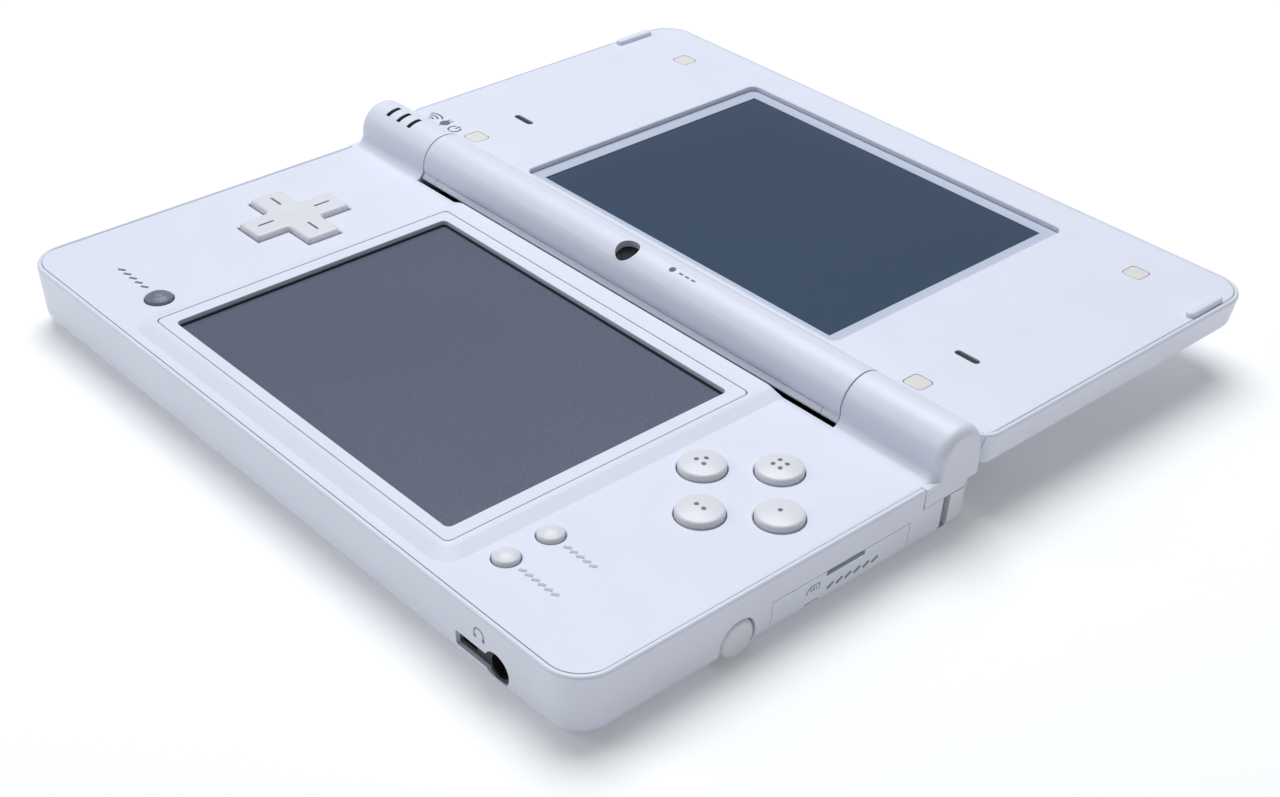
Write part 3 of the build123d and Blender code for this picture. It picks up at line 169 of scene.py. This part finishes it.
def shaded(name, colour, roughness, metallic=0.0, grain=0.25 * MM, bump=0.1, spread=0.03, specular=0.5,
           rough_spread=0.08, patch=9 * MM):
    """Procedural surface: fine moulded grain in the bump and roughness, and slow drift in the colour."""
    material = bpy.data.materials.new(name)
    material.use_nodes = True
    tree = material.node_tree
    shader = tree.nodes["Principled BSDF"]
    shader.inputs["Metallic"].default_value = metallic
    shader.inputs["Specular IOR Level"].default_value = specular
    place = tree.nodes.new("ShaderNodeTexCoord")

    def noise(scale, detail):
        node = tree.nodes.new("ShaderNodeTexNoise")
        node.inputs["Scale"].default_value = 1 / scale
        node.inputs["Detail"].default_value = detail
        tree.links.new(place.outputs["Object"], node.inputs["Vector"])
        return node

    def ramp(source, low, high):
        node = tree.nodes.new("ShaderNodeMapRange")
        node.inputs["From Min"].default_value, node.inputs["From Max"].default_value = NOISE_SPAN
        node.inputs["To Min"].default_value = low
        node.inputs["To Max"].default_value = high
        tree.links.new(source.outputs["Fac"], node.inputs["Value"])
        return node

    fine, broad = noise(grain, 3.0), noise(patch, 2.0)
    mix = tree.nodes.new("ShaderNodeMix")
    mix.data_type = "RGBA"
    mix.inputs[6].default_value = (*[c * (1 - spread) for c in colour[:3]], 1)
    mix.inputs[7].default_value = (*[min(1.0, c * (1 + spread)) for c in colour[:3]], 1)
    tree.links.new(ramp(broad, 0, 1).outputs[0], mix.inputs[0])
    tree.links.new(mix.outputs[2], shader.inputs["Base Color"])
    tree.links.new(ramp(fine, roughness - rough_spread, roughness + rough_spread).outputs[0],
                   shader.inputs["Roughness"])
    relief = tree.nodes.new("ShaderNodeBump")
    relief.inputs["Strength"].default_value = bump
    relief.inputs["Distance"].default_value = BUMP_DEPTH
    tree.links.new(fine.outputs["Fac"], relief.inputs["Height"])
    tree.links.new(relief.outputs[0], shader.inputs["Normal"])
    return material


def clear_window(name):
    """Hard-coated clear sheet: see-through, with a clean reflection."""
    material = bpy.data.materials.new(name)
    material.use_nodes = True
    tree = material.node_tree
    tree.nodes.remove(tree.nodes["Principled BSDF"])
    output = tree.nodes["Material Output"]
    clear = tree.nodes.new("ShaderNodeBsdfTransparent")
    clear.inputs["Color"].default_value = WINDOW_TINT
    gloss = tree.nodes.new("ShaderNodeBsdfGlossy")
    gloss.inputs["Roughness"].default_value = WINDOW_ROUGH
    edge = tree.nodes.new("ShaderNodeLayerWeight")
    edge.inputs["Blend"].default_value = 0.5
    steep = tree.nodes.new("ShaderNodeMath")
    steep.operation = "POWER"
    steep.inputs[1].default_value = WINDOW_STEEP
    tree.links.new(edge.outputs["Facing"], steep.inputs[0])
    share = tree.nodes.new("ShaderNodeMapRange")
    share.inputs["To Min"].default_value, share.inputs["To Max"].default_value = WINDOW_GLOSS
    tree.links.new(steep.outputs[0], share.inputs["Value"])
    mix = tree.nodes.new("ShaderNodeMixShader")
    tree.links.new(share.outputs[0], mix.inputs[0])
    tree.links.new(clear.outputs[0], mix.inputs[1])
    tree.links.new(gloss.outputs[0], mix.inputs[2])
    tree.links.new(mix.outputs[0], output.inputs["Surface"])
    return material


def all_materials():
    """One finish for each of the record's material slots, and those of the marks and of the painted shade in
    the barrel's hollow.
    """
    return {
        "shell_white": shaded("shell_white", linear(228, 232, 245), 0.42, bump=0.12, spread=0.012),
        "button_white": shaded("button_white", linear(228, 229, 235), 0.34, bump=0.05, spread=0.01),
        "power_grey": shaded("power_grey", linear(120, 124, 142), 0.38, bump=0.06),
        "pad_white": shaded("pad_white", linear(224, 222, 218), 0.62, bump=0.15),
        "touch_film": shaded("touch_film", linear(92, 97, 117), 0.26, bump=0.03, spread=0.03, patch=30 * MM),
        "screen_dark": shaded("screen_dark", linear(48, 72, 98), 0.34, bump=0.0, spread=0.01, patch=30 * MM,
                              specular=0.2, rough_spread=0.02),
        "window_clear": clear_window("window_clear"),
        "mask_lilac": shaded("mask_lilac", linear(212, 220, 235), 0.4, bump=0.02, spread=0.01),
        "gasket_black": shaded("gasket_black", linear(28, 28, 33), 0.8),
        "dark_window": shaded("dark_window", linear(14, 14, 20), 0.35, bump=0.02, specular=0.2),
        "lens_black": shaded("lens_black", linear(20, 21, 28), 0.22, bump=0.03, specular=0.3),
        "board_green": shaded("board_green", linear(30, 92, 58), 0.35, spread=0.15, patch=3 * MM),
        "steel": shaded("steel", linear(176, 178, 182), 0.32, 1.0, grain=0.15 * MM, bump=0.1, spread=0.05),
        "contact_gold": shaded("contact_gold", linear(214, 178, 96), 0.25, 1.0, spread=0.05),
        "black_plastic": shaded("black_plastic", linear(34, 34, 38), 0.5, bump=0.15, spread=0.1),
        "grey_rubber": shaded("grey_rubber", linear(128, 130, 134), 0.7, bump=0.2),
        "foot_rubber": shaded("foot_rubber", linear(196, 198, 204), 0.75, bump=0.25),
        "battery_grey": shaded("battery_grey", linear(72, 76, 84), 0.45, spread=0.1),
        "ribbon_amber": shaded("ribbon_amber", linear(168, 104, 38), 0.3, spread=0.08),
        "bush_white": shaded("bush_white", linear(216, 216, 212), 0.4),
        "ink_grey": shaded("ink_grey", linear(112, 114, 124), 0.5, bump=0.05),
        "relief_grey": shaded("relief_grey", linear(190, 192, 202), 0.5, bump=0.1),
        "wall_mark_grey": shaded("wall_mark_grey", linear(138, 140, 152), 0.5, bump=0.05),
        # painted shade: near-black sheet lining the barrel's hollow, where the shadow deep in the gap falls
        "painted_shade_black": shaded("painted_shade_black", linear(16, 16, 19), 0.95, bump=0.4, specular=0.1),
    }


def dress_cad_nodes(finishes):
    """Give every CAD node the finish of its slot."""
    for row in frame["record"]["subparts"]:
        mesh = NODES[row["node"]].data
        mesh.materials.clear()
        mesh.materials.append(finishes[row["material_slot"]])


# ---------------------------------------------------------------- surfaces that marks are printed on
def on_face(x, y, z):
    """Level surface; u runs along X, v along Y."""
    return lambda u, v, lift: Vector((x + u, y + v, z + lift)) * MM


def on_dome(node, cap):
    """Domed top of a round button, a cap of that radius and height."""
    low, high = (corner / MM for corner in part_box(node))
    reach, bulge = cap
    ball = (reach**2 + bulge**2) / (2 * bulge)
    middle = (low + high) / 2

    def place(u, v, lift):
        drop = ball - math.sqrt(ball**2 - u * u - v * v)
        return Vector((middle.x + u, middle.y + v, high.z - drop + lift)) * MM
    return place


def on_right_wall(y, z):
    """Leaning right-hand wall of the base; u runs away from the user, v up."""
    def place(u, v, lift):
        height = z + v
        tucked = SOLE_CURVE_R - math.sqrt(SOLE_CURVE_R**2 - max(0.0, SOLE_CURVE_Z - height) ** 2)
        drafted = (FACE_Z / MM - max(height, SOLE_CURVE_Z)) * SIDE_DRAFT
        return Vector((WALL_X - drafted - tucked + lift, y + u, height)) * MM
    return place


def on_front_wall(x, z):
    """Leaning front wall of the base; u runs to the right, v up."""
    def place(u, v, lift):
        height = z + v
        return Vector((x + u, FRONT_Y + (FACE_Z / MM - height) * SIDE_DRAFT - lift, height)) * MM
    return place


def on_barrel(x, lean):
    """Hinge barrel; u runs along it, v up and over it from that lean towards the user, in degrees."""
    radius = BARREL_R / MM

    def place(u, v, lift):
        angle = math.radians(lean) - v / radius
        reach = radius + lift
        return Vector((x + u, -reach * math.sin(angle), AXIS_Z / MM + reach * math.cos(angle))) * MM
    return place


# ---------------------------------------------------------------- thin closed marks
def strip_outline(points, width):
    """Left and right edges of a stroke, mitred at its bends."""
    left, right = [], []
    last = len(points) - 1
    for index, point in enumerate(points):
        before, after = Vector(points[max(index - 1, 0)]), Vector(points[min(index + 1, last)])
        if points[0] == points[last] and index in (0, last):
            before, after = Vector(points[last - 1]), Vector(points[1])
        along = (after - before).normalized()
        across = Vector((-along.y, along.x)) * width / 2
        left.append(Vector(point) + across)
        right.append(Vector(point) - across)
    return left, right


def add_stroke(verts, faces, place, points, width, thick):
    """Thin closed bar along a line of (u, v) points, half sunk in its surface."""
    left, right = strip_outline(points, width)
    ring = points[0] == points[-1]
    count = len(points) - 1 if ring else len(points)
    start = len(verts)
    for index in range(count):
        for edge, lift in ((left, thick / 2), (right, thick / 2), (right, -thick / 2), (left, -thick / 2)):
            verts.append(place(*edge[index], lift))
    for index in range(count if ring else count - 1):
        here, there = start + 4 * index, start + 4 * ((index + 1) % count)
        for side in range(4):
            after = (side + 1) % 4
            faces.append((here + side, here + after, there + after, there + side))
    if not ring:
        faces.append(tuple(range(start, start + 4))[::-1])
        faces.append(tuple(range(start + 4 * (count - 1), start + 4 * count)))


def add_spot(verts, faces, place, middle, radius, thick, sides=20):
    """Thin closed disc, half sunk in its surface."""
    start = len(verts)
    for lift in (thick / 2, -thick / 2):
        for index in range(sides):
            angle = 2 * math.pi * index / sides
            u, v = middle[0] + radius * math.cos(angle), middle[1] + radius * math.sin(angle)
            verts.append(place(u, v, lift))
    faces.append(tuple(range(start, start + sides)))
    faces.append(tuple(range(start + 2 * sides - 1, start + sides - 1, -1)))
    for index in range(sides):
        after = (index + 1) % sides
        faces.append((start + index, start + sides + index, start + sides + after, start + after))


def add_piece(name, verts, faces, material, body):
    """Closed mesh as a piece that rides on that body."""
    mesh = bpy.data.meshes.new(name)
    mesh.from_pydata(verts, [], faces)
    mesh.materials.append(FINISH[material])
    mesh.validate()
    tidy = bmesh.new()
    tidy.from_mesh(mesh)
    bmesh.ops.recalc_face_normals(tidy, faces=tidy.faces)
    tidy.to_mesh(mesh)
    tidy.free()
    piece = bpy.data.objects.new(name, mesh)
    bpy.context.scene.collection.objects.link(piece)
    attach(piece, body)


def printed(name, body, place, strokes=(), spots=(), width=0.3, thick=PRINT_T, material="ink_grey"):
    """One printed mark made of strokes and round spots, all in mm on their surface."""
    verts, faces = [], []
    for points in strokes:
        add_stroke(verts, faces, place, points, width, thick)
    for middle, radius in spots:
        add_spot(verts, faces, place, middle, radius, thick)
    add_piece(name, verts, faces, material, body)


def arc(middle, radius, start, end, steps=16):
    """Points round part of a circle, angles in degrees from +u."""
    turn = [math.radians(start + (end - start) * step / steps) for step in range(steps + 1)]
    return [(middle[0] + radius * math.cos(a), middle[1] + radius * math.sin(a)) for a in turn]


def dashes(count, pitch, length, slant=0.0):
    """Row of short dashes centred on the origin, in place of a word."""
    middles = [(i - (count - 1) / 2) * pitch for i in range(count)]
    return [[(middle - length / 2, -slant), (middle + length / 2, slant)] for middle in middles]


def standby(radius):
    """Broken ring with a bar in its gap."""
    return [arc((0, 0), radius, 122, 418, 28), [(0, radius * 0.15), (0, radius * 1.25)]]


# ---------------------------------------------------------------- the marks; none of them is lettering
def add_labels():
    """Rows of dashes beside the power, start and select buttons."""
    face = FACE_Z / MM
    row = dashes(5, 1.75, 1.1, 0.35)
    printed("power_label", "base", on_face(*POWER_LABEL_AT, face), row, width=LABEL_LINE)
    for name, corner, count in (("start_label", START_LABEL_AT, 5), ("select_label", SELECT_LABEL_AT, 6)):
        printed(name, "base", on_face(*corner, face), dashes(count, 1.3, 0.9, 0.3), width=LABEL_LINE,
                thick=RAISED_T, material="relief_grey")


def add_lid_marks():
    """Wireless, charge and standby marks by the indicator windows, and dashes by the microphone."""
    face = LID_Z / MM
    fan_foot = (0, -1.1)
    fan = [arc(fan_foot, radius, 50, 130) for radius in (0.9, 1.75, 2.6)]
    printed("wireless_mark", "lid", on_face(*WIRELESS_AT, face), fan, [(fan_foot, 0.28)], width=MARK_LINE)
    plug = [[(-0.4, 0.85), (-0.4, 1.6)], [(0.4, 0.85), (0.4, 1.6)], [(0, -0.8), (0, -1.6)]]
    printed("charge_mark", "lid", on_face(*CHARGE_AT, face), plug, [((0, 0.05), 0.95)])
    printed("standby_mark", "lid", on_face(*STANDBY_AT, face), standby(1.1), width=MARK_LINE)
    barrel = on_barrel(MICROPHONE_MARK_X, MICROPHONE_MARK_LEAN)
    printed("microphone_mark", "lid", barrel, dashes(3, 1.35, 0.85), width=MARK_LINE)


def add_power_symbol():
    """Broken ring on the power button."""
    printed("standby_symbol", "power_button", on_dome("power_button", POWER_CAP), standby(0.95), width=0.26)


def add_door_marks():
    """Plain card with contacts, and a row of dashes, on the card door."""
    card = [[(-1.2, -1.4), (-1.2, 0.9), (-0.5, 1.5), (1.2, 1.5), (1.2, -1.4), (-1.2, -1.4)]]
    pins = [[(u, 0.6), (u, 1.15)] for u in (-0.4, 0.1, 0.6)]
    printed("card_mark", "sd_door", on_right_wall(*CARD_MARK_AT), card + pins, width=FINE_LINE,
            material="wall_mark_grey")
    row = dashes(6, 1.75, 1.2, 0.3)
    printed("card_label", "sd_door", on_right_wall(*CARD_LABEL_AT), row, width=LABEL_LINE,
            material="wall_mark_grey")


def add_headphone_mark():
    """Headband with two cups, above the headphone jack."""
    band_r, cup_u, cup_v, cup_r = 0.95, 0.85, -0.75, 0.3
    band = [arc((0, -0.1), band_r, 0, 180)]
    band += [[(side * band_r, -0.1), (side * band_r, -0.85)] for side in (-1, 1)]
    cups = [((side * cup_u, cup_v), cup_r) for side in (-1, 1)]
    printed("headphone_mark", "base", on_front_wall(*HEADPHONE_AT), band, cups, width=FINE_LINE,
            material="wall_mark_grey")


def add_pips():
    """One to four round pips on the action buttons."""
    pips = {"right": [(0, 0)], "bottom": [(-0.7, 0), (0.7, 0)],
            "left": [(-0.75, -0.45), (0.75, -0.45), (0, 0.75)],
            "top": [(-0.7, -0.7), (0.7, -0.7), (-0.7, 0.7), (0.7, 0.7)]}
    for side, dots in pips.items():
        dome = on_dome(f"action_button_{side}", ACTION_CAP)
        printed(f"pips_{side}", f"action_{side}", dome, spots=[(dot, 0.36) for dot in dots])


def add_pad_lines():
    """Grey fill in the four lines of the direction pad."""
    low, high = (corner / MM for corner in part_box("direction_pad"))
    middle = (low + high) / 2
    start, end = PAD_LINE
    lines = [[(side * start, 0), (side * end, 0)] for side in (-1, 1)]
    lines += [[(0, side * start), (0, side * end)] for side in (-1, 1)]
    printed("pad_lines", "direction_pad", on_face(middle.x, middle.y, high.z - PAD_GROOVE + PAD_FILL), lines,
            width=0.4, thick=0.06)


def add_trough_shade_sheet():
    """Near-black sheet of painted shade in the hollow that the hinge barrel turns in, so the gap round the
    barrel reads dark.
    """
    low, high = TROUGH_ANGLES
    steps, verts, faces = 32, [], []
    for step in range(steps + 1):
        angle = math.radians(low + (high - low) * step / steps)
        for radius in (TROUGH_R - SHADE_SHEET_BACK, TROUGH_R - SHADE_SHEET_FACE):
            y, z = -radius * math.cos(angle), AXIS_Z / MM - radius * math.sin(angle)
            verts += [Vector((x, y, z)) * MM for x in (-TROUGH_HALF, TROUGH_HALF)]
    for step in range(steps):
        here, there = 4 * step, 4 * step + 4
        for a, b in ((0, 1), (1, 3), (3, 2), (2, 0)):
            faces.append((here + a, here + b, there + b, there + a))
    faces.append((0, 2, 3, 1))
    faces.append((4 * steps, 4 * steps + 1, 4 * steps + 3, 4 * steps + 2))
    add_piece("trough_painted_shade", verts, faces, "painted_shade_black", "base")


make_camera()
make_studio()
FINISH = all_materials()
dress_cad_nodes(FINISH)
add_labels()
add_lid_marks()
add_power_symbol()
add_door_marks()
add_headphone_mark()
add_pips()
add_pad_lines()
add_trough_shade_sheet()
